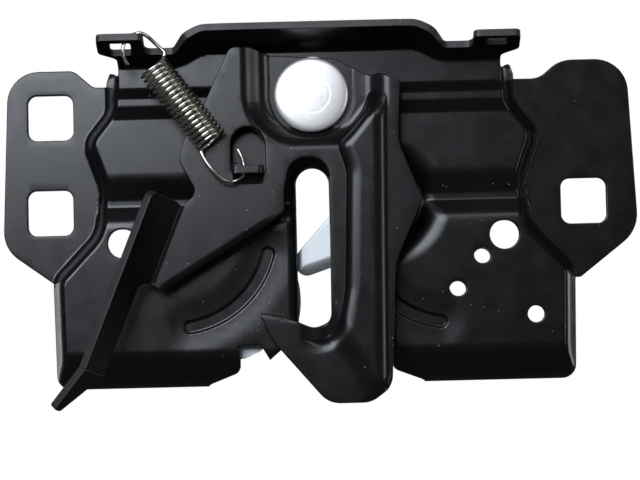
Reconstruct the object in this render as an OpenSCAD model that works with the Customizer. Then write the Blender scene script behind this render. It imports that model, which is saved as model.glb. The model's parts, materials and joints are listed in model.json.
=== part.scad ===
// Bonnet latch: stamped base plate, fork bolt, pawl and sprung safety lever.
// X runs along the wings, Z is up, the front faces -Y. Depths are measured towards the front.
// The origin lies on the striker's line, just above the two round holes, on the wings' seating face.

/* [Base plate] */
// Thickness of the base plate's sheet
sheet_t = 2.5; // [2:0.1:3]
// Depth of the lower panel's front face
lower_d = 12; // [11.5:0.1:13]
// Depth of the upper panel's front face
upper_d = 11.5; // [11:0.1:12.5]
// Depth of the valley between the two panels
valley_d = 8.5; // [8.3:0.1:9]
// Depth of the step below the top strip
tread_d = 13.5; // [13:0.1:14]
// Depth of the top strip's front face
strip_d = 15.5; // [15:0.1:15.8]
// Slope of the side walls, sideways per depth
wall_draft = 0.33; // [0.2:0.01:0.4]
// Reach of the left wing from the striker's line
left_reach = 111.4; // [110:0.1:114]
// Reach of the right wing from the striker's line
right_reach = 116.8; // [115:0.1:120]
// Side of the square bolt windows
window_side = 16.7; // [12:0.1:18]
// Radius of the window corners
window_r = 3.3; // [1:0.1:5]
// Radius of the two large round holes
big_hole_r = 5.2; // [3:0.1:6]
// Distance of the large round holes from the striker's line
big_hole_x = 68; // [66:0.5:70]
// Height of the large round holes, below the origin
big_hole_z = -0.9; // [-2:0.1:0]
// Radius of the three small round holes
small_hole_r = 3; // [2:0.1:3.5]
// Width of the striker slot
slot_w = 11.8; // [10:0.1:13]
// Height of the slot's closed end
slot_top = 24.5; // [20:0.5:26]
// Width of the pressed arc beads
bead_w = 4.3; // [3:0.1:5]
// Depth of the pressed arc beads
bead_d = 1.3; // [0.8:0.1:1.8]

/* [Top flange] */
// Lean of the flange from upright
flange_lean = 72; // [64:1:75]
// Depth that the middle of the flange reaches
flange_d = 34; // [30:0.5:36]
// Depth that the right ear reaches
ear_d = 34; // [33:0.5:36]
// Depth that the left ear, which holds the spring, reaches
left_ear_d = 37.5; // [36:0.5:38.5]
// Depth of the notches beside the ears
notch_d = 25.5; // [24:0.5:27]

/* [Safety lever] */
// Thickness of the lever's sheet
lever_t = 3; // [2.5:0.1:3.2]
// Step of the lever's legs above the pivot pad
lever_step = 4; // [3.7:0.1:4.5]
// Step of the stiffening rib above the legs
rib_step = 3; // [2:0.1:4]
// Lean of the release tab from straight forward
tab_lean = 31; // [20:1:38]
// Width of the release tab
tab_w = 19.5; // [16:0.5:21]
// Length of the straight part of the release tab
tab_len = 63; // [55:1:66]

/* [Pivots] */
// Thickness of the washer under the lever
washer_t = 1; // [0.6:0.1:1.2]
// Radius of the big rivet's head
rivet_head_r = 13.1; // [11:0.1:14]
// Radius of the big rivet's shank
rivet_r = 6; // [5:0.1:7]
// Radius of the journals of the fork bolt and the pawl
journal_r = 6; // [5:0.1:6.5]
// Wall of the pivot bushes
bush_wall = 1.4; // [1:0.1:1.8]
// Radial clearance of a running fit
fit = 0.05; // [0.03:0.01:0.08]

/* [Fork bolt and pawl] */
// Thickness of the fork bolt and the pawl
fork_t = 4; // [3:0.1:4.2]
// Thickness of the back plate
back_t = 2.2; // [1.5:0.1:2.5]
// Depth of the back plate's front face
back_d = 0.5; // [0.3:0.1:0.7]
// Gap between the back plate and the moving pieces
side_gap = 0.5; // [0.3:0.1:0.7]
// Turn of the pawl from engaged to held clear
pawl_turn = 10; // [9:0.5:11]

/* [Springs] */
// Wire diameter of the extension spring
wire = 1.5; // [1.2:0.1:1.7]
// Mean radius of the extension spring's turns
coil_r = 5.2; // [4.5:0.1:5.5]
// Turns of the extension spring
coil_n = 18; // [14:1:19]
// Wire diameter of the torsion springs
torsion_wire = 2.2; // [1.6:0.1:2.4]

/* [Hidden] */
$fn = 64;
far = 200;
eps = 0.01;
black = [0.09, 0.09, 0.1];
zinc = [0.82, 0.84, 0.86];
nickel = [0.72, 0.7, 0.66];

// Pivot places
lever_pivot = [0.5, 49.5];
fork_pivot = [26, 12];
pawl_pivot = [-27, 15];
spacers = [[19.5, -34], [-38, 32]];

// Depths that follow from the stack
seat_d = strip_d + 0.2;
pad_d = seat_d + washer_t;
leg_d = pad_d + lever_step;
leg_front = leg_d + lever_t;
rib_front = leg_front + rib_step;
fork_d = back_d + side_gap;
boss_d = lower_d + 0.4;
boss_back = boss_d - sheet_t;
boss_r = 12;
seat_r = 16.5;
pad_r = 15.6;
collar_back = 5.8;
recess_r = 16.5;
corner_x = 65.5;
corner_w = 10.5;
corner_z = 58.5;
collar_r = 8.5;
neck_r = 4.5;
head_r = 6.5;
head_t = 2.3;
bush_r = journal_r + fit + bush_wall;
bore_r = bush_r + fit;
slot_r = slot_w / 2;
wire_r = wire / 2;
torsion_r = torsion_wire / 2;
torsion_turns = 2.25;
torsion_pitch = torsion_wire + 0.15;
fork_spring_start = 200;
fork_spring_leg = 18;
pawl_spring_start = 300;
pawl_spring_leg = 14;
barrel_d = torsion_turns * torsion_pitch + torsion_wire + 0.6;

// Closed outlines as corners [x, z, radius], counter-clockwise seen from the front
body_side = [[93.3, -52.5, 5], [94.2, -12.5, 9], [79, 3.5, 12], [76.4, 18, 14], [82.8, 36, 9],
    [74, 47, 6], [74, 66, 1]];
bottom_side = [[40, -70, 0], [40, -52.5, 4], [28, -48, 3], [25, -42, 2]];
function mirrored(c) = [for (i = [len(c) - 1:-1:0]) [-c[i][0], c[i][1], c[i][2]]];
body_outline = concat(body_side, mirrored(body_side));
bottom_cut = concat(bottom_side, mirrored(bottom_side));
left_wing = [[-72, 56, 0.5], [-78, 56, 4], [-85, 62.2, 5], [2.7 - left_reach, 62.2, 11.5], [-left_reach, -1.5, 12],
    [-93.5, -14.5, 2], [-80, -14.5, 1]];
right_wing = [[80, -16, 1], [95.5, -16.5, 2], [right_reach, 0, 13], [right_reach - 2.8, 62, 12], [90, 62, 6],
    [82.5, 55.5, 4], [72, 55.5, 0.5]];
windows = [[-93.6, 45.3], [-94.2, 11], [97.4, 11]];
small_holes = [[60, -8], [51, -19.5], [78.5, -29.5]];
switch_holes = [small_holes[0], small_holes[1]];

// Section of the stamped body as corners [depth, z, radius], top to bottom and back up behind
function front_bends(back) = [[strip_d, 90, 0], [strip_d, 53.6, 1.5], [tread_d, 50.6, 1.5], [tread_d, 47.5, 1.5],
    [upper_d, 43.4, 1.5], [upper_d, 22, 9], [valley_d, 14.7, 3], [valley_d, 12.2, 1.5],
    [lower_d, 6, 8], [lower_d, -42, 3], [back, -42 - 0.85 * (lower_d - back), 0], [back, 90, 0]];
function body_section(back) = [for (b = front_bends(back)) [-b[0], b[1], b[2]]];

lever_outline = [[-20.5, 67, 3], [-28, 67, 3], [-37, 48, 30], [-44.8, 34.5, 14], [-46.8, 27, 5],
    [-40.5, 15.5, 3.5], [-48, 9.5, 2], [-58.8, -15.6, 1.5], [-53.5, -19, 3.5], [-17, 3, 12],
    [-10, 8.5, 3], [-10, 16, 12], [-7.6, 27.4, 7.3], [6.2, 27.4, 7], [5.6, -32.6, 5], [-1.5, -32.6, 5],
    [-10, -29, 20], [-19.8, -27, 1], [-14.8, -37.5, 12], [4, -59.5, 9], [19, -59.5, 9], [26.6, -54, 8],
    [28.6, -11, 20], [38.8, 11.8, 4], [30.6, 33, 14], [31.8, 53.6, 1.5], [24.5, 56.8, 2.5],
    [21, 56, 3], [9, 62.5, 6], [-14, 64, 2]];
rib_outline = [[20.8, 50.4, 2.6], [18.6, 44, 8], [9, 32, 5.5], [12.2, 22, 8], [10.8, -19, 12], [5, -33.5, 10],
    [-7.5, -37, 1.2], [3.5, -51, 8], [17, -51.5, 7], [23.5, -46, 7], [27, 8, 30], [28, 50.4, 2.6]];
lug_window = [[-28.4, 22.5, 1], [-16.2, 22.5, 1], [-16.2, 38.6, 6], [-28.4, 38.6, 6]];
lug_x = [-26.5, -18];
lug_hole = [-22.5, 26.9];

// The fork bolt in its open position, with the catch tooth on its lower finger
fork_outline = [[-6.6, -6.4, 0.6], [-6.6, -15, 2.6], [15.5, -7.8, 4.5], [18.8, -17.7, 4.5], [9, -21, 1.2],
    [8.3, -27.6, 1.2], [11.5, -28.9, 0.6], [13.1, -24.4, 1.5], [20.6, -26.2, 10], [31, -26, 6],
    [36.5, -8, 15], [39.5, 12, 9], [36, 24, 8], [22, 26.5, 9], [6.5, 7.9, 14]];
// The pawl in its engaged position
pawl_outline = [[-37.3, 13, 2], [-31, -14, 20], [-17.8, -43.2, 2.5], [-9.3, -37.4, 2], [-11, -30, 6],
    [-17, -19, 4], [-9.6, -16.5, 2], [-7.8, -11.2, 1], [-9.2, -7.6, 0.5], [-13.9, -10.2, 0.8],
    [-16.8, 2, 10], [-16.8, 13, 2]];
pawl_hub_r = 10.5;
cable_hole = [-14.6, -34];
back_outline = [[-46, -26, 5], [-61.5, -27, 3], [-61.5, -42, 3], [-40, -45.5, 6], [-32.5, -45.5, 3], [-10, -35, 2], [0, -35, 0],
    [10, -45.5, 2], [46, -45.5, 6],
    [52, -28, 10], [66.5, -15, 3], [63.5, -5.5, 2], [46, 2, 10], [46, 36, 6], [-46, 36, 6]];
back_slot = [[-6.6, -60, 0.5], [7.4, -60, 0.5], [7.4, 27, 6.5], [-6.6, 27, 6.5]];
ear_x = -61.5;
ear_front = 8;

// Corner rounding and parallel insets of outlines
function xz(c) = [c[0], c[1]];
function unit(v) = v / norm(v);
function left_of(v) = [-v.y, v.x];
function before(c, i) = xz(c[(i + len(c) - 1) % len(c)]);
function after(c, i) = xz(c[(i + 1) % len(c)]);
function fillet(a, b, c, r) =
    let (u = unit(a - b), w = unit(c - b), half = acos(u * w) / 2)
    let (o = b + unit(u + w) * r / sin(half), s = b + u * r / tan(half) - o)
    let (side = sign(cross(b - a, c - b)), sweep = side * (180 - 2 * half), first = atan2(s.y, s.x))
    let (n = max(2, ceil(abs(sweep) / 18)))
    [for (i = [0:n]) o + r * [cos(first + sweep * i / n), sin(first + sweep * i / n)]];
function rounded(c) = [for (i = [0:len(c) - 1])
    each c[i][2] > 0 ? fillet(before(c, i), xz(c[i]), after(c, i), c[i][2]) : [xz(c[i])]];
function inset_corner(a, b, c, r, e) =
    let (p = left_of(unit(b - a)), q = left_of(unit(c - b)), m = b + (p + q) * e / (1 + p * q))
    [m.x, m.y, r == 0 ? 0 : max(0.2, r - e * sign(cross(b - a, c - b)))];
function inset(c, e) = [for (i = [0:len(c) - 1])
    inset_corner(before(c, i), xz(c[i]), after(c, i), c[i][2], e)];

// A flat shape in x and z, given thickness between two depths
module slab(d0, d1) {
    translate([0, -d0, 0]) rotate([90, 0, 0]) linear_extrude(d1 - d0) children();
}
module sheet(corners, d0, d1) {
    slab(d0, d1) polygon(rounded(corners));
}
module rod(p, r, d0, d1) {
    translate([p.x, -d0, p.y]) rotate([90, 0, 0]) cylinder(r = r, h = d1 - d0);
}
// A wall between one outline at each of two depths
module loft(c0, d0, c1, d1) {
    p = rounded(c0);
    q = rounded(c1);
    n = len(p);
    points = concat([for (v = p) [v.x, -d0, v.y]], [for (v = q) [v.x, -d1, v.y]]);
    ring = [for (i = [0:n - 1]) let (j = (i + 1) % n) each [[i, n + i, n + j], [i, n + j, j]]];
    polyhedron(points, concat([[for (i = [0:n - 1]) i]], [[for (i = [0:n - 1]) 2 * n - 1 - i]], ring));
}
// A round wire along a path, with its section turned about a fixed direction
module wire_along(path, r, up, sides) {
    n = len(path);
    function way(i) = unit(path[min(i + 1, n - 1)] - path[max(i - 1, 0)]);
    points = [for (i = [0:n - 1]) let (t = way(i), a = unit(cross(t, up)), b = cross(a, t))
        for (k = [0:sides - 1]) path[i] + r * (a * cos(360 * k / sides) + b * sin(360 * k / sides))];
    skin = [for (i = [0:n - 2], k = [0:sides - 1])
        let (m = (k + 1) % sides, a = i * sides + k, b = i * sides + m)
        each [[a, a + sides, b + sides], [a, b + sides, b]]];
    polyhedron(points, concat([[for (k = [0:sides - 1]) k]],
        [[for (k = [0:sides - 1]) n * sides - 1 - k]], skin));
}

// Base plate
module section_along(e, back) {
    translate([-far / 2, 0, 0]) rotate([90, 0, 90]) linear_extrude(far)
        polygon(rounded(inset(body_section(back), e)));
}
module drafted(e) {
    low = -4;
    high = 24;
    loft(inset(body_outline, e + wall_draft * low), low, inset(body_outline, e + wall_draft * high), high);
}
module tub() {
    intersection() {
        drafted(0);
        section_along(0, 0);
    }
}
module tub_inside() {
    difference() {
        intersection() {
            drafted(1.06 * sheet_t);
            section_along(sheet_t, -20);
        }
        slab(collar_back, far) slot_shape(slot_r + sheet_t);
        for (side = [-1, 1]) bead(side, bead_w + 2, lower_d - sheet_t - bead_d, lower_d + 5);
    }
}
module top_opening() {
    intersection() {
        slab(-2, 21) translate([-66, 40]) square([132, 40]);
        section_along(sheet_t, -20);
    }
}
module slot_shape(r) {
    translate([0, slot_top - slot_r]) circle(r);
    translate([-r, -far]) square([2 * r, far + slot_top - slot_r]);
}
module bead(side, w, d0, d1) {
    bead_r = 34.2;
    turn = side > 0 ? 189.5 : 278.5;
    translate([side * 49.5, -d0, 2.5]) rotate([90, 0, 0]) rotate([0, 0, turn])
        rotate_extrude(angle = 72) translate([bead_r - w / 2, 0]) square([w, d1 - d0]);
}
// Bend height of the flange, raised over the lever
flange_root = 55.5;
function bend_z(x) =
    let (t = min(1, max(0, (48 - abs(x)) / 12)))
    61.4 + 4.4 * t * t * (3 - 2 * t);
function flange_section(x) =
    let (z = bend_z(x), v = (40 - strip_d) / sin(flange_lean), s = sin(flange_lean), c = cos(flange_lean))
    let (drop = sheet_t * (1 - c) / s)
    [[strip_d - 0.05, flange_root], [strip_d - 0.05, z], [strip_d + v * s, z + v * c],
        [strip_d + v * s - sheet_t * c, z + v * c + sheet_t * s],
        [strip_d - sheet_t, z + drop], [strip_d - sheet_t, flange_root]];
module flange_sheet() {
    stations = concat([-80], [for (i = [0:6]) -48 + 2 * i], [for (i = [0:6]) 36 + 2 * i], [80]);
    n = len(stations);
    k = 6;
    points = [for (x = stations) for (q = flange_section(x)) [x, -q[0], q[1]]];
    skin = [for (i = [0:n - 2], j = [0:k - 1])
        let (m = (j + 1) % k, a = i * k + j, b = i * k + m)
        each [[a, b, b + k], [a, b + k, a + k]]];
    polyhedron(points, concat([[for (j = [0:k - 1]) k - 1 - j]],
        [[for (j = [0:k - 1]) (n - 1) * k + j]], skin));
}
// The flange seen from above as corners [x, depth, radius]
function flange_half(ear) = [[68, strip_d - 6, 0], [68, ear - 15, 3], [74.2, ear - 10.5, 3], [74.2, ear, 2],
    [57.8, ear, 2], [57.8, notch_d, 2.5], [47.5, notch_d, 2.5], [43, flange_d - 0.5, 3], [30, flange_d, 20]];
function ear_slot(ear) = [[62.5, ear - 6.8, 1], [70.3, ear - 6.8, 1], [70.3, ear - 2, 1], [62.5, ear - 2, 1]];
module flange() {
    corners = concat(flange_half(ear_d), mirrored(flange_half(left_ear_d)));
    intersection() {
        flange_sheet();
        mirror([0, 1, 0]) linear_extrude(far) difference() {
            polygon(rounded(corners));
            polygon(rounded(ear_slot(ear_d)));
            mirror([1, 0, 0]) polygon(rounded(ear_slot(left_ear_d)));
        }
    }
}
module window(p) {
    s = window_side / 2;
    c = [[-s, -s, window_r], [s, -s, window_r], [s, s, window_r], [-s, s, window_r]];
    slab(-1, sheet_t + 1) translate(p) polygon(rounded(c));
}
module base_plate() color(black) {
    difference() {
        union() {
            difference() {
                union() {
                    sheet(left_wing, 0, sheet_t);
                    sheet(right_wing, 0, sheet_t);
                    tub();
                }
                tub_inside();
                top_opening();
                for (x = [-corner_x - corner_w, corner_x]) slab(-1, far) translate([x, corner_z]) square([corner_w, 20]);
            }
            flange();
            rod(fork_pivot, recess_r + sheet_t, valley_d - sheet_t, lower_d - 1);
            rod(lever_pivot, seat_r, upper_d - 1.5, seat_d);
            for (p = [fork_pivot, pawl_pivot]) rod(p, boss_r, valley_d - 1.5, boss_d);
        }
        difference() {
            rod(fork_pivot, recess_r, valley_d, far);
            rod(fork_pivot, boss_r, valley_d - 1, far + 1);
        }
        rod(lever_pivot, seat_r - sheet_t, -1, seat_d - sheet_t);
        for (p = [fork_pivot, pawl_pivot]) rod(p, boss_r - sheet_t, -1, boss_d - sheet_t);
        for (side = [-1, 1]) bead(side, bead_w, lower_d - bead_d, far);
        for (p = windows) window(p);
        for (x = [-big_hole_x, big_hole_x]) rod([x, big_hole_z], big_hole_r, -1, far);
        for (p = small_holes) rod(p, small_hole_r, -1, far);
        for (p = spacers) rod(p, neck_r, -1, far);
        rod(fork_pivot, neck_r, -1, far);
        rod(pawl_pivot, neck_r, -1, far);
        rod(lever_pivot, rivet_r, -1, far);
        slab(-far, far) slot_shape(slot_r);
        sheet(bottom_cut, -far, far);
        slab(-far, far) polygon([[-27, -38.3], [-19.5, -38.3], [-18.6, -40], [-16.5, -43.6], [-16.5, -60], [-27, -60]]);
    }
}

// Back plate with its striker slot and the cable's ear
module back_plate() color(zinc) {
    back_rear = back_d - back_t;
    nose_r = 30;
    difference() {
        union() {
            difference() {
                sheet(back_outline, back_rear, back_d);
                sheet(back_slot, back_rear - 1, back_d + 1);
            }
            intersection() {
                rod([-5.1 - nose_r, -22], nose_r, back_rear, back_d);
                slab(back_rear, back_d) translate([-20, -34]) square([20, 24]);
            }
            slab(back_rear, ear_front) translate([ear_x, -41]) square([back_t, 11]);
        }
        rod(fork_pivot, neck_r, back_rear - 1, back_d + 1);
        rod(pawl_pivot, neck_r, back_rear - 1, back_d + 1);
        for (p = spacers) rod(p, neck_r, back_rear - 1, back_d + 1);
        for (p = switch_holes) rod(p + [0.4, -0.3], small_hole_r, back_rear - 1, back_d + 1);
        translate([ear_x - 1, -3, -37.5]) rotate([0, 90, 0]) cylinder(r = 3, h = back_t + 2);
        translate([ear_x - 1, -3 - 3, -37.5]) cube([back_t + 2, 6, far]);
    }
}

// Fork bolt, its bush, rivet and spring
module fork_bolt() color(zinc) {
    difference() {
        sheet(fork_outline, fork_d, fork_d + fork_t);
        rod(fork_pivot, bore_r, fork_d - 1, fork_d + fork_t + 1);
    }
}
module bush(p) {
    difference() {
        rod(p, bush_r, fork_d, fork_d + fork_t);
        rod(p, journal_r + fit, fork_d - 1, fork_d + fork_t + 1);
    }
}
module shoulder_rivet(p) {
    back_rear = back_d - back_t;
    collar_d = fork_d + fork_t + 0.3;
    rod(p, journal_r, back_d, collar_d);
    rod(p, collar_r, collar_d, boss_back);
    rod(p, neck_r, boss_back, boss_d);
    rod(p, head_r, boss_d, boss_d + head_t);
    rod(p, neck_r, back_rear - barrel_d, back_d);
    rod(p, head_r + 1, back_rear - barrel_d - head_t, back_rear - barrel_d);
}
module fork_bolt_bush() color(nickel) bush(fork_pivot);
module fork_bolt_rivet() color(zinc) shoulder_rivet(fork_pivot);

// A torsion spring round a rivet's barrel, with two straight legs
function torsion_path(p, r, turns, first, d0, d1, leg) =
    let (steps = ceil(turns * 16), last = first + 360 * turns)
    let (a = [cos(first), sin(first)], b = [cos(last), sin(last)])
    concat([[p.x + r * a.x + leg * a.y, -d0, p.y + r * a.y - leg * a.x]],
        [for (i = [0:steps]) let (g = first + 360 * turns * i / steps)
            [p.x + r * cos(g), -d0 - (d1 - d0) * i / steps, p.y + r * sin(g)]],
        [[p.x + r * b.x - leg * b.y, -d1, p.y + r * b.y + leg * b.x]]);
module torsion_spring(p, first, leg) {
    back_rear = back_d - back_t;
    coil_mean = neck_r + torsion_r + 0.4;
    d0 = back_rear - torsion_r - 0.1;
    d1 = d0 - torsion_turns * torsion_pitch;
    wire_along(torsion_path(p, coil_mean, torsion_turns, first, d0, d1, leg), torsion_r, [0, 1, 0], 8);
}
module fork_bolt_spring() color(nickel) torsion_spring(fork_pivot, fork_spring_start, fork_spring_leg);
module pawl() color(zinc) {
    difference() {
        slab(fork_d, fork_d + fork_t) translate(pawl_pivot) rotate(-pawl_turn) translate(-pawl_pivot)
            difference() {
                union() {
                    polygon(rounded(pawl_outline));
                    translate(pawl_pivot) circle(pawl_hub_r);
                }
                translate(cable_hole) circle(1.6);
            }
        rod(pawl_pivot, bore_r, fork_d - 1, fork_d + fork_t + 1);
    }
}
module pawl_bush() color(nickel) bush(pawl_pivot);
module pawl_rivet() color(zinc) shoulder_rivet(pawl_pivot);
module pawl_spring() color(nickel) torsion_spring(pawl_pivot, pawl_spring_start, pawl_spring_leg);
module spacer_rivets() color(zinc) {
    back_rear = back_d - back_t;
    for (p = spacers) {
        front = p.y > 0 ? upper_d : lower_d;
        rod(p, neck_r, back_rear, front);
        rod(p, head_r - 0.5, back_d, front - sheet_t);
        rod(p, head_r - 0.5, front, front + head_t - 0.3);
        rod(p, head_r - 0.5, back_rear - head_t, back_rear);
    }
}

// Safety lever
module u_shape(r) {
    translate(lever_pivot) circle(r);
    translate(lever_pivot - [r, 0]) square([2 * r, 40]);
}
module tab_place() {
    translate([-48, -leg_front + lever_t / 2, 9.5]) rotate([0, 22, 0]) rotate([0, 0, -tab_lean]) children();
}
module release_tab() {
    end_len = 17.5;
    end_turn = 20;
    end_root = 12;
    end_tip = 3.5;
    straight = [[4, 3, 2], [4, tab_w, 1], [-tab_len, tab_w, 0.5], [-tab_len, tab_w - end_root, 0.5], [-29, 7, 3],
        [-26.5, -1, 1], [0, -1, 1]];
    tab_place() {
        rotate([90, 0, 90]) translate([0, 0, -lever_t / 2]) linear_extrude(lever_t)
            polygon([for (c = rounded(straight)) [-c.y, c.x]]);
        translate([0, -tab_w, -tab_len]) rotate([0, end_turn, 0]) rotate([90, 0, 90])
            translate([0, 0, -lever_t / 2]) linear_extrude(lever_t)
                polygon([[0, 0.5], [0, -end_len], [end_tip, -end_len], [end_root, 0.5]]);
    }
}
module lever_sheet() {
    middle_r = pad_r + lever_t / 2;
    intersection() {
        sheet(lever_outline, pad_d, leg_front);
        union() {
            slab(leg_d, leg_front + 1) difference() {
                square(far, center = true);
                u_shape(middle_r);
            }
            slab(pad_d - 1, leg_front + 1) difference() {
                u_shape(pad_r + lever_t);
                u_shape(pad_r);
            }
            slab(pad_d - 1, pad_d + lever_t) u_shape(middle_r);
        }
    }
}
module lever_lug() {
    lug_t = 2.8;
    slab(leg_d, leg_front + 6) translate([lug_x[0], lug_window[0][1] - 0.7]) square([lug_x[1] - lug_x[0], lug_t]);
}
module safety_lever() color(black) {
    rib_wall = 2.5;
    difference() {
        union() {
            difference() {
                lever_sheet();
                sheet(lug_window, leg_d - 1, leg_front + 1);
            }
            sheet(inset(rib_outline, 1), leg_front - 1, rib_front);
            release_tab();
            lever_lug();
        }
        sheet(inset(rib_outline, 1 + rib_wall), leg_d - 0.5, rib_front - lever_t - 0.15);
        translate([lug_hole.x, -lug_hole.y, 20]) cylinder(r = 1.7, h = 7);
        rod(lever_pivot, rivet_r + fit + bush_wall + fit, 0, far);
    }
}
module pivot_bush() color(nickel) {
    difference() {
        rod(lever_pivot, rivet_r + fit + bush_wall, pad_d, pad_d + lever_t);
        rod(lever_pivot, rivet_r + fit, pad_d - 1, pad_d + lever_t + 1);
    }
}
module pivot_washer() color(zinc) {
    difference() {
        rod(lever_pivot, 14, seat_d, pad_d - 0.05);
        rod(lever_pivot, rivet_r + fit, seat_d - 1, pad_d + 1);
    }
}
module pivot_rivet() color(zinc) {
    head_d = pad_d + lever_t + 0.2;
    head_h = 3.4;
    rod(lever_pivot, rivet_r, seat_d - sheet_t - 3, head_d);
    translate([lever_pivot.x, -head_d, lever_pivot.y]) rotate([90, 0, 0])
        rotate_extrude() polygon([[0, 0], [rivet_head_r - 0.4, 0], [rivet_head_r, 0.5], [rivet_head_r, 1.7],
            [rivet_head_r - 0.6, 2.4], [rivet_head_r - 3, 2.9], [6.6, head_h], [6.2, head_h - 0.15], [0, head_h]]);
    rod(lever_pivot, 9, seat_d - sheet_t - 3, seat_d - sheet_t);
}

// Extension spring from the ear to the lever's lug
coil_top = [-55, -31.5, 60];
coil_low = [-34.5, -31, 33];
module lever_spring() color(nickel) {
    axis = unit(coil_low - coil_top);
    side = unit(cross(axis, [0, 1, 0]));
    out = cross(side, axis);
    per_turn = 12;
    steps = coil_n * per_turn;
    coil = [for (i = [0:steps]) let (g = 360 * i / per_turn)
        coil_top + (coil_low - coil_top) * i / steps + coil_r * (side * cos(g) + out * sin(g))];
    first = coil[0];
    last = coil[steps];
    hook_d = left_ear_d - 5.5;
    upper = [first, first + [1.2, 0, 2.2], [-55.6, -31, 69.5], [-57.3, -31, 72.4], [-61.3, -31.5, 73.2],
        [-64.8, -hook_d, 72], [-66.2, -hook_d, 68.5], [-66.4, -hook_d, 64.5]];
    lower = [last, last + [0.6, 0, -2.6], [-28, -31, 21.5], [-25, -29, 18.8], [-22.8, -27.2, 20],
        [-22.5, -26.9, 24], [-23.4, -26.6, 29.5]];
    wire_along(coil, wire_r, axis, 6);
    wire_along(upper, wire_r, [0, 1, 0], 6);
    wire_along(lower, wire_r, [0.3, 1, 0], 6);
}

base_plate();
back_plate();
fork_bolt();
fork_bolt_bush();
fork_bolt_rivet();
fork_bolt_spring();
pawl();
pawl_bush();
pawl_rivet();
pawl_spring();
spacer_rivets();
safety_lever();
pivot_bush();
pivot_washer();
pivot_rivet();
lever_spring();
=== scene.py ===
import json
import math

import bpy
import numpy as np
from mathutils import Matrix, Vector, geometry


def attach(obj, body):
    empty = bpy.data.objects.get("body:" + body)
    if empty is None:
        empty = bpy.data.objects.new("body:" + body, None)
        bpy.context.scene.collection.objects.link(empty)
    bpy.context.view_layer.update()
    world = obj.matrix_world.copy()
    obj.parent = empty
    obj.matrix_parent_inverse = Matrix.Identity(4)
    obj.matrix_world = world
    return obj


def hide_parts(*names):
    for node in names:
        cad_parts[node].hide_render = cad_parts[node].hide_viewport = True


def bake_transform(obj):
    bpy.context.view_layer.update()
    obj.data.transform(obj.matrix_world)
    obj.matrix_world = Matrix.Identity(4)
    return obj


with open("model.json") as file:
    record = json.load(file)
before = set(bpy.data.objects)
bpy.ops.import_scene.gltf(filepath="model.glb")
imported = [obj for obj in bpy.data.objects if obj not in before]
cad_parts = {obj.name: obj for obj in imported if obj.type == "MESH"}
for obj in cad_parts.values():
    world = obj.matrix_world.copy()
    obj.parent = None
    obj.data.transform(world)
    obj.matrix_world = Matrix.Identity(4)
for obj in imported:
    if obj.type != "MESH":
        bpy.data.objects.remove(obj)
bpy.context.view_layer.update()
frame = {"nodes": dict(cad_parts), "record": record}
mm = 0.001
print("stage: frame loaded")

# The camera stands where the photograph was taken, a little below the part and slightly rolled
view = {"distance": 1.0, "elevation": -3.0, "roll": -1.4, "target": (0.0023, 0.0, -0.0008),
        "width": 0.2304, "sensor": 36.0}
cam = bpy.data.cameras.new("cam")
cam.sensor_width = view["sensor"]
cam.lens = view["sensor"] * view["distance"] / view["width"]
camera = bpy.data.objects.new("cam", cam)
bpy.context.scene.collection.objects.link(camera)
tilt = math.radians(view["elevation"])
aim = Vector(view["target"])
camera.location = aim + view["distance"] * Vector((0, -math.cos(tilt), math.sin(tilt)))
look = (aim - camera.location).to_track_quat("-Z", "Y").to_matrix()
camera.rotation_euler = (look @ Matrix.Rotation(math.radians(view["roll"]), 3, "Z")).to_euler()
bpy.context.scene.camera = camera
bpy.context.scene.view_settings.view_transform = "Standard"


# Outlines in x and z, millimetres; depth counts from the seating face towards the front

def roundedLoop(corners, turn=8.0, closed=True):
    # each corner [x, z, r] becomes an arc that touches both of its edges
    points = np.array([c[:2] for c in corners], float)
    count = len(points)
    loop = []
    for i in range(count):
        r = corners[i][2]
        if r == 0 or (not closed and i in (0, count - 1)):
            loop.append(points[i])
            continue
        a, b, c = points[i - 1], points[i], points[(i + 1) % count]
        u = (a - b) / np.linalg.norm(a - b)
        w = (c - b) / np.linalg.norm(c - b)
        half = math.acos(np.clip(u @ w, -1, 1)) / 2
        centre = b + (u + w) / np.linalg.norm(u + w) * r / math.sin(half)
        start = b + u * r / math.tan(half) - centre
        side = np.sign((b - a)[0] * (c - b)[1] - (b - a)[1] * (c - b)[0])
        sweep = side * (math.pi - 2 * half)
        first = math.atan2(start[1], start[0])
        steps = max(2, math.ceil(abs(math.degrees(sweep)) / turn))
        angle = first + sweep * np.linspace(0, 1, steps + 1)
        loop.extend(centre + r * np.stack([np.cos(angle), np.sin(angle)], 1))
    return np.array(loop)


def spaced(loop, step):
    # long edges are divided, corners stay
    out = []
    for a, b in zip(loop, np.roll(loop, -1, 0)):
        length = np.linalg.norm(b - a)
        if length < 1e-6:
            continue
        k = max(1, math.ceil(length / step))
        out.extend(a + (b - a) * np.arange(k)[:, None] / k)
    return np.array(out)


def ring(centre, r, count=48):
    angle = np.linspace(0, 2 * math.pi, count, endpoint=False)
    return np.array(centre) + r * np.stack([np.cos(angle), np.sin(angle)], 1)


def sideways(loop):
    # unit vectors across the loop, to its left
    along = np.roll(loop, -1, 0) - np.roll(loop, 1, 0)
    length = np.maximum(np.linalg.norm(along, axis=1), 1e-9)
    return np.stack([-along[:, 1], along[:, 0]], 1) / length[:, None]


def insideDistance(x, z, loop):
    # distance to the nearest edge of a loop, positive inside
    best = np.full(x.shape, 1e9)
    inside = np.zeros(x.shape, bool)
    for (ax, az), (bx, bz) in zip(loop, np.roll(loop, -1, 0)):
        ex, ez = bx - ax, bz - az
        t = np.clip(((x - ax) * ex + (z - az) * ez) / max(ex * ex + ez * ez, 1e-12), 0, 1)
        best = np.minimum(best, (x - ax - t * ex) ** 2 + (z - az - t * ez) ** 2)
        if az != bz:
            inside ^= ((az > z) != (bz > z)) & (x < ax + (z - az) * ex / ez)
    return np.where(inside, 1, -1) * np.sqrt(best)


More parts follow.
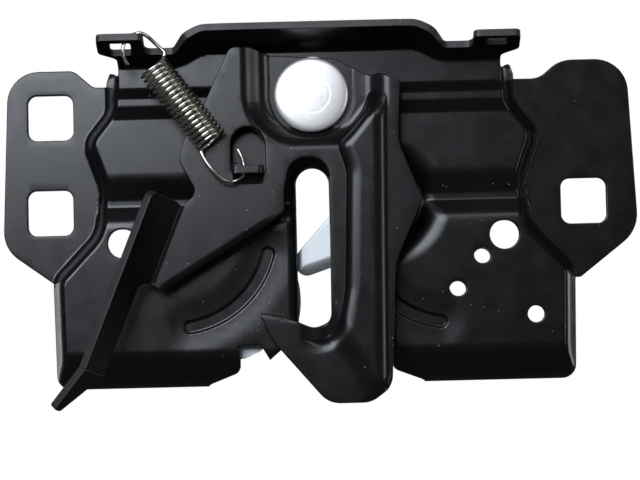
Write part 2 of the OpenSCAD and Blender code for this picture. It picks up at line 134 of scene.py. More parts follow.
def softMin(a, b, k):
    h = np.clip(0.5 + 0.5 * (b - a) / k, 0, 1)
    return b + (a - b) * h - k * h * (1 - h)


def softMax(a, b, k):
    return -softMin(-a, -b, k)


def smooth(t):
    t = np.clip(t, 0, 1)
    return t * t * (3 - 2 * t)


def quads(rows, count, closed=True, flip=False):
    # faces between rows that have the same count of points
    faces = []
    for i in range(rows - 1):
        for k in range(count if closed else count - 1):
            a, b = i * count + k, i * count + (k + 1) % count
            faces.append([a, a + count, b + count, b] if flip else [a, b, b + count, a + count])
    return faces


def addMesh(name, verts, faces, normals=None, rims=0):
    # the last faces, as many as rims says, are cut edges with the second material
    data = bpy.data.meshes.new(name)
    data.from_pydata([tuple(v) for v in np.asarray(verts) * mm], [], faces)
    data.polygons.foreach_set("use_smooth", np.ones(len(data.polygons), bool))
    if rims:
        kind = np.zeros(len(data.polygons), np.int32)
        kind[-rims:] = 1
        data.polygons.foreach_set("material_index", kind)
    if normals is not None:
        data.normals_split_custom_set_from_vertices([tuple(n) for n in normals])
    data.update()
    piece = bpy.data.objects.new(name, data)
    bpy.context.scene.collection.objects.link(piece)
    return piece


# How sheets are meshed: point spacing along cuts, bend above which points lie close, rows beside the cut
# edges as shares of the edge radius, rows beside the guides, and steps for the slopes of front and back
meshing = {"cutStep": 1.2, "busy": 0.03, "edgeShares": (0.18, 0.5, 1.0), "guideStep": 0.5,
           "guideGaps": (-0.3, -0.05, 0.05, 0.2, 0.45, 0.8, 1.3), "shadeStep": 0.06, "backStep": 0.8}


def sheetArrays(outers, holes, depth, thickness, fine, coarse, edge=0.45, guides=()):
    # a pressed sheet: its front face is a height over x and z, cut to the outlines, and its back
    # lies one thickness behind along the face's own direction; rows of points follow the guides,
    # which are the lines where the face has a crease
    outers = [spaced(o, meshing["cutStep"]) for o in outers]
    holes = [spaced(h, meshing["cutStep"]) for h in holes]

    def margin(x, z):
        # distance to the cut edge, positive on the sheet
        m = np.max([insideDistance(x, z, o) for o in outers], axis=0)
        for h in holes:
            m = np.minimum(m, -insideDistance(x, z, h))
        return m

    def height(x, z):
        # the face with its cut edges rounded over
        e = np.clip(margin(x, z), 0, edge)
        return depth(x, z) - (edge - np.sqrt(np.maximum(edge ** 2 - (edge - e) ** 2, 0)))

    low = np.min([o.min(0) for o in outers], axis=0)
    high = np.max([o.max(0) for o in outers], axis=0)
    gx = np.arange(low[0], high[0], fine)
    gz = np.arange(low[1], high[1], fine)
    x, z = np.meshgrid(gx, gz)
    d = depth(x.ravel(), z.ravel()).reshape(x.shape)
    bend = np.zeros(d.shape)
    bend[1:-1, 1:-1] = (np.abs(d[1:-1, 2:] + d[1:-1, :-2] - 2 * d[1:-1, 1:-1])
                        + np.abs(d[2:, 1:-1] + d[:-2, 1:-1] - 2 * d[1:-1, 1:-1])) / fine ** 2
    busy = bend > meshing["busy"]
    busy[1:] |= busy[:-1]
    busy[:, 1:] |= busy[:, :-1]
    lattice = np.zeros(d.shape, bool)
    lattice[::coarse, ::coarse] = True
    keep = (busy | lattice).ravel()
    px, pz = x.ravel()[keep], z.ravel()[keep]
    ok = margin(px, pz) > 2 * edge
    points = [np.stack([px[ok], pz[ok]], 1)]
    base = len(points[0])
    constraints = []
    for loop in outers + holes:
        k = len(loop)
        points.append(loop)
        constraints += [(base + i, base + (i + 1) % k) for i in range(k)]
        base += k
    for loop, sign in [(o, 1) for o in outers] + [(h, -1) for h in holes]:
        side = sideways(loop)
        turn = np.sum(loop[:, 0] * np.roll(loop[:, 1], -1) - loop[:, 1] * np.roll(loop[:, 0], -1))
        for gap in (share * edge for share in meshing["edgeShares"]):
            row = loop + side * gap * sign * np.sign(turn)
            row = row[margin(row[:, 0], row[:, 1]) > 0.9 * gap]
            points.append(row)
    for loop in guides:
        loop = spaced(loop, meshing["guideStep"])
        side = sideways(loop)
        for gap in meshing["guideGaps"]:
            row = loop + side * gap
            points.append(row[margin(row[:, 0], row[:, 1]) > 2 * edge])
    flat = np.concatenate(points)
    verts, _, faces, *_ = geometry.delaunay_2d_cdt([Vector(p) for p in flat], constraints, [], 0, 1e-5)
    flat = np.array([tuple(v) for v in verts])
    tri = np.array([f for f in faces if len(f) == 3])
    mid = flat[tri].mean(1)
    tri = tri[margin(mid[:, 0], mid[:, 1]) > 0]
    used = np.unique(tri)
    renew = np.full(len(flat), -1)
    renew[used] = np.arange(len(used))
    flat, tri = flat[used], renew[tri]
    one, two = flat[tri[:, 1]] - flat[tri[:, 0]], flat[tri[:, 2]] - flat[tri[:, 0]]
    area = one[:, 0] * two[:, 1] - one[:, 1] * two[:, 0]
    tri[area < 0] = tri[area < 0][:, ::-1]
    px, pz = flat[:, 0], flat[:, 1]

    def facing(field, h):
        dx = (field(px + h, pz) - field(px - h, pz)) / (2 * h)
        dz = (field(px, pz + h) - field(px, pz - h)) / (2 * h)
        n = np.stack([-dx, -np.ones(len(px)), -dz], 1)
        return n / np.linalg.norm(n, axis=1)[:, None]

    front = np.stack([px, -height(px, pz), pz], 1)
    shade = facing(height, meshing["shadeStep"])
    inward = facing(depth, meshing["backStep"])
    middle = np.stack([px, -depth(px, pz), pz], 1)
    back = middle - thickness * inward
    edges = np.concatenate([tri[:, [0, 1]], tri[:, [1, 2]], tri[:, [2, 0]]])
    key = np.sort(edges, 1)
    _, where, counts = np.unique(key[:, 0] * len(flat) + key[:, 1], return_index=True, return_counts=True)
    rim = edges[where[counts == 1]]
    n = len(flat)
    verts = np.concatenate([front, back, front, back])
    faces = tri.tolist() + (tri[:, ::-1] + n).tolist()
    faces += [[b + 2 * n, a + 2 * n, a + 3 * n, b + 3 * n] for a, b in rim]
    normals = np.concatenate([shade, -inward, np.zeros((2 * n, 3))])
    onRim = np.isin(np.arange(n), np.unique(rim))
    keepRow = np.concatenate([np.ones(2 * n, bool), onRim, onRim])
    number = np.cumsum(keepRow) - 1
    faces = [[int(number[i]) for i in f] for f in faces]
    return verts[keepRow], faces, normals[keepRow], len(rim)


def tube(path, r, sides=14):
    # a round section carried along a path without twist
    path = np.asarray(path, float)
    ways = np.gradient(path, axis=0)
    ways /= np.linalg.norm(ways, axis=1)[:, None]
    up = np.cross(ways[0], [0.3, 0.5, 0.8])
    rows = []
    for p, t in zip(path, ways):
        up = up - t * (up @ t)
        up /= np.linalg.norm(up)
        other = np.cross(t, up)
        angle = np.linspace(0, 2 * math.pi, sides, endpoint=False)
        rows.append(p + r * (np.cos(angle)[:, None] * up + np.sin(angle)[:, None] * other))
    n = len(path)
    verts = np.concatenate(rows)
    faces = quads(n, sides)
    faces += [list(range(sides))[::-1], [(n - 1) * sides + k for k in range(sides)]]
    return verts, faces


def curveThrough(points, count):
    # a smooth curve through the points, each stretch a cubic with slopes taken from its neighbours
    p = np.asarray(points, float)
    slopes = np.gradient(p, axis=0)
    out = []
    for i in range(len(p) - 1):
        t = np.linspace(0, 1, count, endpoint=i == len(p) - 2)[:, None]
        out.append((2 * t ** 3 - 3 * t ** 2 + 1) * p[i] + (t ** 3 - 2 * t ** 2 + t) * slopes[i]
                   + (3 * t ** 2 - 2 * t ** 3) * p[i + 1] + (t ** 3 - t ** 2) * slopes[i + 1])
    return np.concatenate(out)


# Base plate: depths of its levels, wall draft, flange, windows, slot and holes
plate = {"sheet": 2.5, "lower": 12.0, "upper": 11.5, "valley": 8.5, "tread": 13.5, "strip": 15.5,
         "draft": 0.33, "wallSoft": 5.0, "wingSoft": 3.0, "wingEdge": -0.6,
         "lean": 72.0, "flangeFoot": 57, "stripFrom": 60, "flangeSide": 76, "flangeSoft": 2.0,
         "middle": 34.0, "rightEar": 34.0, "leftEar": 37.5, "notch": 25.5,
         "windowHalf": 8.15, "windowR": 3.3, "holeR": 5.2, "smallHoleR": 3, "holeZ": -0.9,
         "slotR": 5.9, "slotTop": 24.5, "slotLow": -60, "lip": 3.8, "lipShare": 0.8, "lipLow": 7.7}
# Arc beads: the arc each one follows, groove depth and half width, and the shallow dish round it
bead = {"x": 49.5, "z": 2.5, "r": 34.2, "right": (194, 261.5), "left": (278.5, 346),
        "depth": 0.85, "half": 1.7, "wall": 0.9, "dish": 0.5, "dishHalf": 1.5, "dishWall": 9.5, "guide": 2.2}
# Raised discs: under the fork's and pawl's rivets and under the lever; and the funnel round the fork's rivet
rivetBoss = {"depth": 12.4, "r": 11.3, "fall": 3, "reach": 13, "soft": 0.6}
leverSeat = {"depth": 15.7, "r": 15.8, "fall": 2.5, "reach": 19, "soft": 0.8}
funnel = {"r": 13.0, "rise": 0.6, "soft": 3.0}
leverPivot = np.array([0.5, 49.5])
forkPivot = np.array([26.0, 12.0])
pawlPivot = np.array([-27.0, 15.0])


def mirrored(corners):
    return [[-c[0], c[1], c[2]] for c in corners[::-1]]


bodySide = [[93.3, -52.5, 5], [94.2, -12.5, 9], [79, 3.5, 12], [76.4, 18, 14], [82.8, 36, 9],
            [74, 47, 6], [74, 90, 1]]
bodyLoop = roundedLoop(bodySide + mirrored(bodySide))
trimSide = [[93.1, -52.5, 5], [93.9, -12.5, 9], [78.7, 3.5, 12], [76.1, 18, 14], [82.5, 36, 9],
            [73.6, 47, 6], [73.3, 58.6, 2], [68, 58.6, 0.8], [68, 61, 0]]
trimLoop = roundedLoop(trimSide + mirrored(trimSide))
leftWing = roundedLoop([[-72, 56, 0.5], [-78, 56, 4], [-85, 62.2, 5], [-108.7, 62.2, 11.5],
                        [-111.4, -1.5, 12], [-93.5, -14.5, 2], [-80, -14.5, 1]])
rightWing = roundedLoop([[80, -16, 1], [95.5, -16.5, 2], [116.8, 0, 13], [114, 62, 12], [90, 62, 12],
                         [82.5, 55.5, 8], [72, 55.5, 0.5]])
bottomSide = [[40, -70, 0], [40, -52.5, 4], [28, -48, 3], [25, -42, 2]]
slotFoot = [[0, -39.5, 1], [-11.5, -39.5, 1], [-16.6, -43.8, 0.3]]
bottomCut = roundedLoop(bottomSide + slotFoot + mirrored(bottomSide))
notchCut = np.array([[-19.5, -38.3], [-18.6, -40], [-16.5, -43.6], [-16.5, -60], [-27, -60], [-27, -38.3]])
# The section down the plate: depth, height and radius of each bend
bends = [[plate["strip"], 90, 0], [plate["strip"], 53.6, 1.5], [plate["tread"], 50.6, 1.5],
         [plate["tread"], 47.5, 1.5], [plate["upper"], 43.4, 1.5], [plate["upper"], 22, 9],
         [plate["valley"], 14.7, 3], [plate["valley"], 12.2, 1.5], [plate["lower"], 6, 8],
         [plate["lower"], -42.4, 7], [0, -53.2, 0]]
section = roundedLoop(bends, 5.0, closed=False)[::-1]


def bendHeight(x):
    # the flange's bend line, higher along the middle
    return 61.4 + 4.4 * smooth((48 - np.abs(x)) / 12)


riseRate = 1 / math.tan(math.radians(plate["lean"]))


def flangeHalf(ear):
    # half of the flange seen from above, x, depth and radius, with its ear
    return [[68, ear - 15, 3], [74.2, ear - 10.5, 3], [74.2, ear, 2], [57.8, ear, 2],
            [57.8, plate["notch"], 2.5], [47.5, plate["notch"], 2.5],
            [43, plate["middle"] - 0.5, 3], [30, plate["middle"], 20]]


def raised(top):
    # points of the flange seen from above, x and depth, become x and z on its sheet
    return np.stack([top[:, 0], bendHeight(top[:, 0]) + (top[:, 1] - plate["strip"]) * riseRate], 1)


def flangeLoop():
    x, depth = 68, 12
    right, left = flangeHalf(plate["rightEar"]), mirrored(flangeHalf(plate["leftEar"]))
    edge = spaced(roundedLoop([[x, depth, 0]] + right + left + [[-x, depth, 0]]), 1.0)
    first = np.argmin(np.hypot(edge[:, 0] - x, edge[:, 1] - depth))
    last = np.argmin(np.hypot(edge[:, 0] + x, edge[:, 1] - depth))
    foot = plate["flangeFoot"]
    return np.concatenate([[[x, foot]], raised(edge[first:last + 1]), [[-x, foot]]])


def earSlot(side, low, high):
    near, far = sorted((side * 62.3, side * 69.8))
    return raised(roundedLoop([[near, low, 1], [far, low, 1], [far, high, 1], [near, high, 1]]))


def window(x, z):
    s, r = plate["windowHalf"], plate["windowR"]
    return roundedLoop([[x - s, z - s, r], [x + s, z - s, r], [x + s, z + s, r], [x - s, z + s, r]])


def slotLoop(r, low):
    top = plate["slotTop"] - plate["slotR"]
    angle = np.linspace(0, math.pi, 25)
    arc = np.stack([r * np.cos(angle), top + r * np.sin(angle)], 1)
    return np.concatenate([[[r, low]], arc, [[-r, low]]])


def beadDistance(x, z, side):
    # distance from the arc that a bead follows
    cx, cz, r = side * bead["x"], bead["z"], bead["r"]
    first, last = bead["right"] if side > 0 else bead["left"]
    angle = np.degrees(np.arctan2(z - cz, x - cx)) % 360
    angle = np.clip(angle, first, last)
    return np.hypot(x - cx - r * np.cos(np.radians(angle)), z - cz - r * np.sin(np.radians(angle)))


def beadLoop(side):
    # the outline of a bead, for rows of points along its edges
    half, r = bead["guide"], bead["r"]
    first, last = bead["right"] if side > 0 else bead["left"]
    angle = np.radians(np.linspace(first, last, 40))
    turn = np.linspace(0, math.pi, 9)[1:-1]
    way = np.stack([np.cos(angle), np.sin(angle)], 1)
    ends = [np.array([-math.sin(a), math.cos(a)]) for a in (angle[0], angle[-1])]
    mid = np.array([side * bead["x"], bead["z"]])
    capB = mid + r * way[-1] + half * (np.cos(turn)[:, None] * way[-1] + np.sin(turn)[:, None] * ends[1])
    capA = mid + r * way[0] - half * (np.cos(turn)[:, None] * way[0] + np.sin(turn)[:, None] * ends[0])
    return np.concatenate([mid + (r + half) * way, capB, (mid + (r - half) * way)[::-1], capA])


def raiseDisc(panel, x, z, centre, disc):
    # a flat round boss with a sloped wall
    r = np.hypot(x - centre[0], z - centre[1])
    top = np.minimum(disc["depth"], disc["depth"] - (r - disc["r"]) * disc["fall"])
    return np.where(r < disc["reach"], softMax(panel, top, disc["soft"]), panel)


def plateDepth(x, z):
    # the stepped panel with its funnel, discs and beads, bounded by the drafted wall; then the wings,
    # the inclined flange and the slot's rolled lip
    panel = np.interp(z, section[:, 1], section[:, 0])
    around = np.hypot(x - forkPivot[0], z - forkPivot[1])
    slope = plate["valley"] + np.maximum(around - funnel["r"], 0) * funnel["rise"]
    panel = softMin(panel, slope, funnel["soft"])
    for centre, disc in ((forkPivot, rivetBoss), (pawlPivot, rivetBoss), (leverPivot, leverSeat)):
        panel = raiseDisc(panel, x, z, centre, disc)
    for side in (-1, 1):
        # a flat-bottomed groove that lies in a broad shallow dish
        off = beadDistance(x, z, side)
        panel = panel - bead["depth"] * (1 - smooth((off - bead["half"]) / bead["wall"]))
        panel = panel - bead["dish"] * (1 - smooth((off - bead["dishHalf"]) / bead["dishWall"]))
    wall = insideDistance(x, z, bodyLoop) / plate["draft"]
    d = softMin(panel, wall, plate["wallSoft"])
    onWing = np.maximum(insideDistance(x, z, leftWing), insideDistance(x, z, rightWing))
    wing = softMax(d, np.full(d.shape, plate["sheet"]), plate["wingSoft"])
    d = np.where(onWing > plate["wingEdge"], wing, d)
    lean = plate["strip"] + (z - bendHeight(x)) / riseRate
    flange = softMax(np.where(z > plate["stripFrom"], plate["strip"], d), lean, plate["flangeSoft"])
    d = np.where((z > plate["flangeFoot"]) & (np.abs(x) < plate["flangeSide"]), flange, d)
    inSlot = -insideDistance(x, z, slotHole)
    lip = plate["lip"]
    roll = lip - np.sqrt(np.maximum(lip ** 2 - np.clip(lip - inSlot, 0, lip) ** 2, 0))
    rolled = d - plate["lipShare"] * roll
    # the rolled lip stays in front of the fork bolt's path
    return np.maximum(rolled, np.minimum(d, plate["lipLow"]))


slotHole = slotLoop(plate["slotR"], plate["slotLow"])
plateHoles = [window(-93.6, 45.3), window(-94.2, 11), window(97.4, 11)]
plateHoles += [ring((x, plate["holeZ"]), plate["holeR"]) for x in (-68, 68)]
plateHoles += [ring(spot, plate["smallHoleR"], 32) for spot in ((60, -8), (51, -19.5), (78.5, -29.5))]
plateHoles += [slotHole, bottomCut, notchCut, earSlot(-1, 25.2, 34.8), earSlot(1, 27.2, 32.0)]
plateOutlines = [trimLoop, leftWing, rightWing, flangeLoop()]
plateSkin = addMesh("plateSkin", *sheetArrays(plateOutlines, plateHoles, plateDepth, plate["sheet"],
                                              fine=0.6, coarse=5, guides=(beadLoop(-1), beadLoop(1))))
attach(plateSkin, "base")
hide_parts("base_plate")
print("stage: base plate", len(plateSkin.data.polygons))


# The slot's turned-back lip: its lower ends right and left, and depths of its rounded back edge
lipTurn = {"lowRight": -41.5, "lowLeft": -39.4, "step": 1.5, "side": 6.2, "back": 5.8,
           "round": 0.3, "behind": 0.6}


def slotCollar():
    # down the slot's inside, round the back edge and up outside; the slot's foot stays open
    inner = slotLoop(plate["slotR"], lipTurn["lowRight"])
    inner[-1, 1] = lipTurn["lowLeft"]
    inner = spaced(inner, lipTurn["step"])
    inner = inner[(np.abs(inner[:, 0]) > plate["slotR"] - 1e-6) | (inner[:, 1] > 0)]
    along = np.gradient(inner, axis=0)
    out = np.stack([along[:, 1], -along[:, 0]], 1) / np.linalg.norm(along, axis=1)[:, None]
    outer = inner + out * plate["sheet"]
    edge = plateDepth(inner[:, 0], inner[:, 1])
    far = np.interp(outer[:, 1], section[:, 1], section[:, 0]) - plate["sheet"] * lipTurn["behind"]
    n = len(inner)
    side, back = np.full(n, lipTurn["side"]), np.full(n, lipTurn["back"])
    cut = out * lipTurn["round"]
    rows = [(inner, edge), (inner, side), (inner + cut, back)]
    rows += [(outer - cut, back), (outer, side), (outer, far)]
    verts = np.concatenate([np.stack([p[:, 0], -d, p[:, 1]], 1) for p, d in rows])
    return verts, quads(len(rows), n, closed=False)


collar = addMesh("slotCollar", *slotCollar())
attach(collar, "base")

# Safety lever: depths of its levels, then recess, coined edge, rib, hook and the rolled diagonal edge, which
# starts from a point and runs along a direction
lever = {"sheet": 3.0, "main": 23.7, "pad": 19.7, "crest": 26.7, "boreR": 7.5,
         "recessOut": 4.6, "recessWall": 8.6, "coinR": 15.0, "coin": 0.25, "coinWall": 0.6,
         "ribHalf": 5.4, "ribPower": 0.62, "ribTop": 54, "ribFade": 14,
         "hookX": 5, "hookFadeX": 11, "hookZ": -24, "hookFadeZ": 7,
         "roll": 2.6, "rollShare": 0.8, "rollFrom": (-17, 3), "rollWay": (0.857, 0.516),
         "rollLow": 44, "rollLowFade": 5, "rollHigh": 7, "rollHighFade": 10}
leverLoop = roundedLoop([
    [-20.5, 67, 3], [-28, 67, 3], [-37, 48, 30], [-44.8, 34.5, 14], [-46.8, 27, 5],
    [-40.5, 15.5, 3.5], [-48, 9.5, 2], [-58.8, -15.6, 1.5], [-53.5, -19, 3.5], [-17, 3, 12],
    [-10, 8.5, 3], [-10, 16, 12], [-7.6, 27.4, 7.3], [6.2, 27.4, 7], [5.6, -32.6, 5], [-1.5, -32.6, 5],
    [-10, -29, 20], [-19.8, -27, 1], [-14.8, -37.5, 12], [4, -59.5, 9], [19, -59.5, 9], [26.6, -54, 8],
    [28.6, -11, 20], [38.8, 11.8, 4], [30.6, 33, 14], [31.8, 53.6, 1.5], [24.5, 56.8, 2.5],
    [21, 56, 3], [9, 62.5, 6], [-14, 64, 2]])
ribLoop = roundedLoop([
    [20.8, 50.4, 2.6], [18.6, 44, 8], [9, 32, 5.5], [12.2, 22, 8], [10.8, -19, 12], [7.5, -36.8, 9],
    [-5.5, -37.6, 3], [-11, -27, 6], [-32, -20, 0], [-32, -80, 0], [8, -80, 0], [25.6, -52, 8], [26.5, 8, 30],
    [27.2, 50.8, 3.2]])
recessLoop = roundedLoop([[-19.9, 90, 0], [-19.9, 34.6, 15], [14, 34.6, 10], [23.5, 46, 6], [23.5, 90, 0]])
coinLoop = roundedLoop([[-14.5, 90, 0], [-14.5, 34.5, 15], [15.5, 34.5, 15], [15.5, 90, 0]])
lugWindow = roundedLoop([[-28.4, 22.5, 1], [-16.2, 22.5, 1], [-16.2, 38.6, 6], [-28.4, 38.6, 6]])


def leverDepth(x, z):
    # the arm's level with a soft-shouldered recess round the rivet and a fine coined edge in it; over both
    # the leg's rib, whose section is nearly half an ellipse; the diagonal lower edge is rolled back
    fall = (insideDistance(x, z, recessLoop) + lever["recessOut"]) / lever["recessWall"]
    d = lever["main"] - (lever["main"] - lever["pad"]) * smooth(fall)
    u = np.where(z > leverPivot[1], np.abs(x - leverPivot[0]),
                 np.hypot(x - leverPivot[0], z - leverPivot[1]))
    d = d - lever["coin"] * (1 - smooth((u - lever["coinR"]) / lever["coinWall"] + 0.5))
    hookAcross = smooth((lever["hookX"] - x) / lever["hookFadeX"])
    hookDown = smooth((lever["hookZ"] - z) / lever["hookFadeZ"])
    d = d + (lever["crest"] - d) * hookAcross * hookDown
    t = np.clip(insideDistance(x, z, ribLoop) / lever["ribHalf"], 0, 1)
    rise = (1 - (1 - t) ** 2) ** lever["ribPower"]
    d = d + (lever["crest"] - d) * rise * smooth((lever["ribTop"] - z) / lever["ribFade"])
    (fromX, fromZ), (wayX, wayZ), roll = lever["rollFrom"], lever["rollWay"], lever["roll"]
    along = (x - fromX) * wayX + (z - fromZ) * wayZ
    across = np.clip((z - fromZ) * wayX - (x - fromX) * wayZ, 0, roll)
    drop = lever["rollShare"] * (roll - np.sqrt(np.maximum(roll ** 2 - (roll - across) ** 2, 0)))
    lowEnd = smooth((along + lever["rollLow"]) / lever["rollLowFade"])
    return d - drop * lowEnd * smooth((lever["rollHigh"] - along) / lever["rollHighFade"])


leverHoles = [lugWindow, ring(leverPivot, lever["boreR"])]
leverSkin = addMesh("leverSkin", *sheetArrays([leverLoop], leverHoles, leverDepth, lever["sheet"],
                                              fine=0.6, coarse=5, guides=(ribLoop, coinLoop)))
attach(leverSkin, "lever")
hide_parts("safety_lever")
print("stage: lever", len(leverSkin.data.polygons))

# Release tab: a sheet bent forward from the lever's left edge, with a turned end piece and a filleted bend
tab = {"place": (-48, -22.2, 9.5), "slant": 22, "lean": -31, "half": 1.5, "width": 19.5, "length": 63,
       "endTurn": 20, "endLong": 17.5, "bendR": 2.5, "bendTop": 2.5, "bendLow": -26.5, "edge": 0.4}
bendFrame = Matrix.Translation(tab["place"]) @ Matrix.Rotation(math.radians(tab["slant"]), 4, "Y")
tabFrame = bendFrame @ Matrix.Rotation(math.radians(tab["lean"]), 4, "Z")
endFrame = (tabFrame @ Matrix.Translation((0, -tab["width"], -tab["length"]))
            @ Matrix.Rotation(math.radians(tab["endTurn"]), 4, "Y"))


def placed(points, where):
    m = np.array(where)
    return np.asarray(points) @ m[:3, :3].T + m[:3, 3]


def prism(loop, half, where):
    # a flat outline in the frame's y and z with walls across x
    n = len(loop)
    rows = [np.stack([np.full(n, side * half), loop[:, 0], loop[:, 1]], 1) for side in (-1, 1)]
    faces = [list(range(n))[::-1], [n + i for i in range(n)]]
    faces += [[i, (i + 1) % n, n + (i + 1) % n, n + i] for i in range(n)]
    return placed(np.concatenate(rows), where), faces, None, n


def bevelled(piece, width, angle=35):
    edge = piece.modifiers.new("edge", "BEVEL")
    edge.width = width * mm
    edge.segments = 3
    edge.limit_method = "ANGLE"
    edge.angle_limit = math.radians(angle)
    edge.harden_normals = True
    return piece


tabLoop = roundedLoop([[-3, 3, 2], [-tab["width"], 3, 3], [-tab["width"], -tab["length"], 0.5],
                       [-7.5, -tab["length"], 0.5], [-7, -29, 3], [1, tab["bendLow"], 1], [1, 0, 1]])
endLoop = roundedLoop([[0, 0.5, 0], [0, -tab["endLong"], 1.2], [3.5, -tab["endLong"], 1.2], [12, 0.5, 0]])
leverTab = bevelled(addMesh("leverTab", *prism(tabLoop, tab["half"], tabFrame)), tab["edge"])
tabEnd = bevelled(addMesh("tabEnd", *prism(endLoop, tab["half"], endFrame)), tab["edge"])


def tabBend():
    # the inner fillet between the lever's face and the tab's face, carried down the bend line
    lean = math.radians(-tab["lean"])
    toTab = np.array([-math.sin(lean), -math.cos(lean)])
    face = np.array([math.cos(lean), -math.sin(lean)]) * tab["half"]
    front = -lever["main"] - tab["place"][1]
    corner = face + toTab * (front - face[1]) / toTab[1]
    reach = tab["bendR"] / math.tan((math.pi / 2 + lean) / 2)
    a, b = corner + np.array([reach, 0]), corner + toTab * reach
    t = np.linspace(0, 1, 13)[:, None]
    arc = (1 - t) ** 2 * a + 2 * t * (1 - t) * corner + t ** 2 * b
    # both ends run on a little below the faces they join
    arc = np.concatenate([[a + [1.0, 0.12]], arc, [b + toTab - face * 0.08]])
    rows = np.linspace(tab["bendTop"], tab["bendLow"], 24)
    verts = np.concatenate([np.stack([arc[:, 0], arc[:, 1], np.full(len(arc), r)], 1) for r in rows])
    return placed(verts, bendFrame), quads(len(rows), len(arc), closed=False, flip=True)


tabFillet = addMesh("tabFillet", *tabBend())

# Lug: a plate across the window with the spring's hole
lug = {"x": (-28.2, -16.8), "depth": (20.7, 29.7), "z": (21.6, 24.6), "hole": (-23.6, 26.9), "holeR": 1.5,
       "bendR": 4.0, "bendIn": 0.4, "sink": 0.05, "edge": 0.35}


def lugPlate():
    # rows run from the hole's wall over the top, the outer wall and the under side back to the hole
    (x0, x1), (d0, d1), (z0, z1) = lug["x"], lug["depth"], lug["z"]
    outer = spaced(roundedLoop([[x0, d0, 0.5], [x1, d0, 0.5], [x1, d1, 2], [x0, d1, 2]]), 0.8)
    hole = np.array(lug["hole"])
    inner = hole + lug["holeR"] * (outer - hole) / np.linalg.norm(outer - hole, axis=1)[:, None]
    rows = [(inner, z0), (inner, z1), (outer, z1), (outer, z0), (inner, z0)]
    n = len(outer)
    verts = np.concatenate([np.stack([p[:, 0], -p[:, 1], np.full(n, z)], 1) for p, z in rows])
    return verts, quads(len(rows), n)


def lugBend():
    # the inner fillet between the lever's face and the lug's under side
    (x0, x1), r = lug["x"], lug["bendR"]
    k, columns = 9, 6
    angle = np.linspace(0, math.pi / 2, k)
    d = lever["main"] + r - r * np.cos(angle) - lug["sink"]
    z = lug["z"][0] - r + r * np.sin(angle) + lug["sink"]
    xs = np.linspace(x0 + lug["bendIn"], x1 - lug["bendIn"], columns)
    verts = np.concatenate([np.stack([np.full(k, x), -d, z], 1) for x in xs])
    faces = quads(columns, k, closed=False, flip=True)
    for i, turn in ((0, 1), (columns - 1, -1)):
        corner = len(verts)
        verts = np.concatenate([verts, [[xs[i], -lever["main"], lug["z"][0]]]])
        faces.append(([i * k + j for j in range(k)] + [corner])[::turn])
    return verts, faces


lugFillet = addMesh("lugFillet", *lugBend())
leverLug = addMesh("leverLug", *lugPlate())
leverLug.data.polygons.foreach_set("use_smooth", np.zeros(len(leverLug.data.polygons), bool))
bevelled(leverLug, lug["edge"])
for piece in (leverTab, tabEnd, tabFillet, leverLug, lugFillet):
    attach(piece, "lever")
print("stage: tab and lug")

# Pivot rivet, turned: depth of the head's under side, and a profile of radius and height over it, from the
# closing head behind along the shank to the head's middle
rivet = {"head": 19.9, "profile": [[0, -9.7], [8.6, -9.7], [9, -9.3], [9, -6.7], [6, -6.7], [6, 0], [12.5, 0],
                                   [12.9, 0.25], [13.1, 0.8], [13.1, 1.6], [12.95, 2.2], [12.6, 2.6],
                                   [12.0, 2.85], [11.0, 3.0], [9, 3.15], [7.2, 3.25],
                                   [6.6, 3.27], [6.3, 3.26], [6.0, 3.28], [5.0, 3.32], [0, 3.38]]}


def turned(profile, centre, base, count=96):
    p = np.array(profile, float)
    angle = np.linspace(0, 2 * math.pi, count, endpoint=False)
    verts = np.concatenate([np.stack([centre[0] + r * np.cos(angle), np.full(count, -base - h),
                                      centre[1] + r * np.sin(angle)], 1) for r, h in p])
    return verts, quads(len(p), count)


rivetHead = addMesh("rivetHead", *turned(rivet["profile"], leverPivot, rivet["head"]))
rivetHead.data.set_sharp_from_angle(angle=math.radians(40))
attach(rivetHead, "base")
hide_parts("pivot_rivet")

# Lever spring: a close coil between its two hooks
spring = {"wireR": 0.66, "coilR": 5.2, "turns": 18.5, "perTurn": 28, "top": (-55, -31.5, 60),
          "low": (-34.5, -31, 33),
          "upper": [(-50.5, -31.4, 64.5), (-52.2, -31.4, 66.3), (-54.4, -31.6, 68.5), (-56.5, -32, 70.4),
                    (-58.6, -32.2, 71.4), (-60.6, -32.3, 71.2), (-62.6, -32.4, 70.3), (-64.3, -32.4, 68.3),
                    (-65, -32.4, 66), (-64.6, -32.2, 63), (-63.3, -32, 60.4)],
          "lower": [(-37.2, -31.3, 26.6), (-34.6, -31.5, 22.8), (-31.6, -31.2, 19.8), (-28.7, -30.6, 18.9),
                    (-26, -29, 19.6), (-24.2, -27.4, 21.2), (-23.7, -26.8, 24.5), (-24.6, -26.7, 28),
                    (-26, -26.5, 30.6)]}


def springPath():
    top, low = np.array(spring["top"], float), np.array(spring["low"], float)
    axis = (low - top) / np.linalg.norm(low - top)
    side = np.cross(axis, [0, 1, 0])
    side /= np.linalg.norm(side)
    out = np.cross(side, axis)
    t = np.linspace(0, 1, int(spring["turns"] * spring["perTurn"]) + 1)[:, None]
    angle = 2 * math.pi * spring["turns"] * t
    coil = top + (low - top) * t + spring["coilR"] * (side * np.cos(angle) + out * np.sin(angle))
    upper = curveThrough([coil[0]] + [np.array(p) for p in spring["upper"]], 7)
    lower = curveThrough([coil[-1]] + [np.array(p) for p in spring["lower"]], 7)
    return np.concatenate([upper[:0:-1], coil, lower[1:]])


path = springPath()
path = path[np.concatenate([[True], np.linalg.norm(np.diff(path, axis=0), axis=1) > 1e-4])]
leverSpring = addMesh("leverSpring", *tube(path, spring["wireR"], 12))
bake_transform(leverSpring)
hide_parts("lever_spring")
print("stage: rivet and spring")

